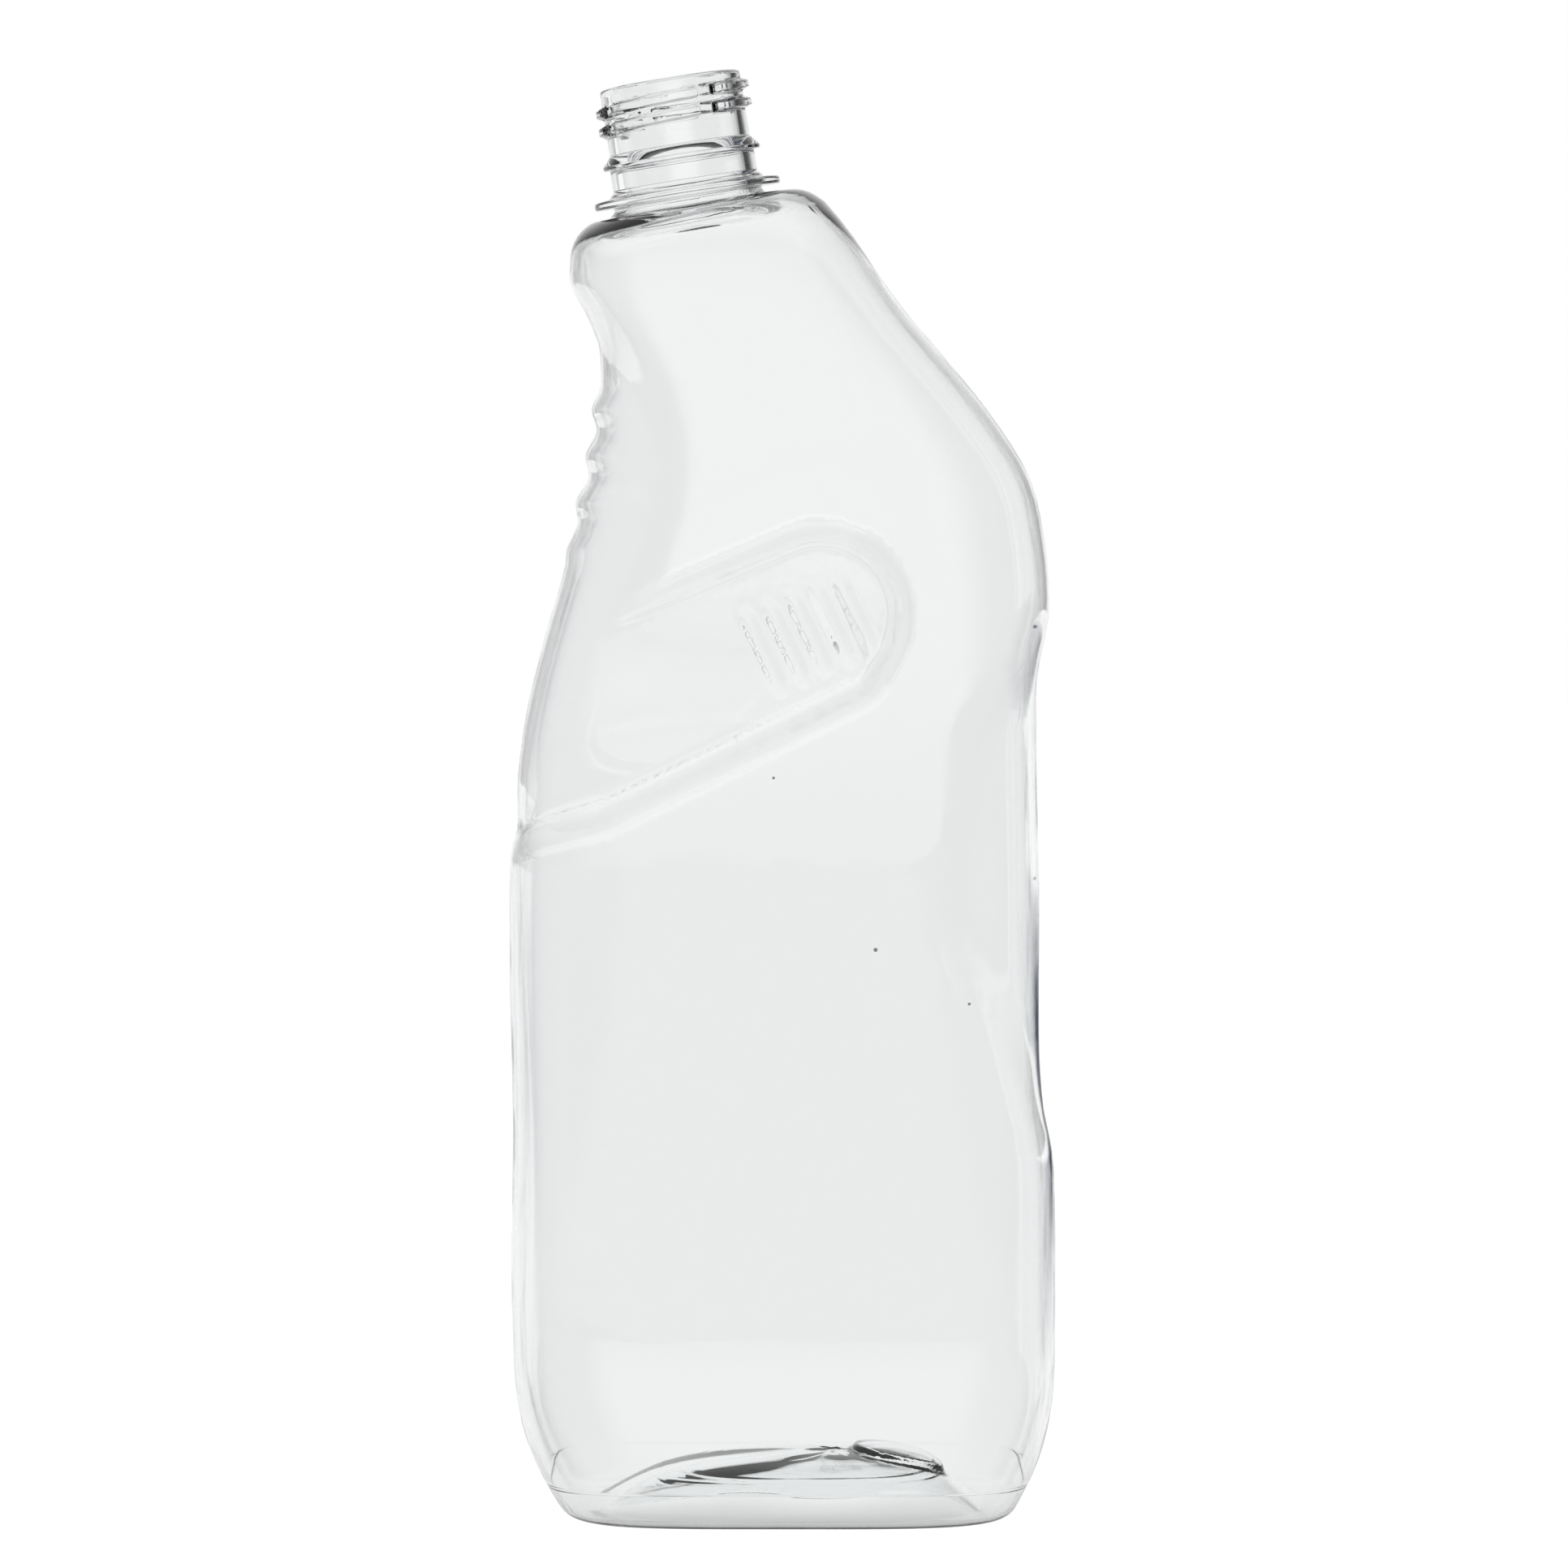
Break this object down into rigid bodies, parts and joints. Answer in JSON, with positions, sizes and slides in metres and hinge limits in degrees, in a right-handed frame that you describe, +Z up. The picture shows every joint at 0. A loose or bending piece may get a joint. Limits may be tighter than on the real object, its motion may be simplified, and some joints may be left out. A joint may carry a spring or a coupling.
{
  "type": "plastic bottle",
  "caption": "Clear empty bottle with a leaning off-centre neck, a support ledge, thumb slots, finger bumps and a pushed-up base.",
  "frame": {"origin": "bottom centre of the bounding box, in the plane the foot ring stands on", "axes": "+Z up, +X across the width towards the heel side, away from the leaning neck, +Y through the depth, away from the viewer"},
  "size_m": [0.0962, 0.064, 0.2551],
  "materials": {
    "pet": "clear, glossy, blown PET"
  },
  "bodies": {
    "root": {"bottle": "pet"}
  },
  "joints": []
}
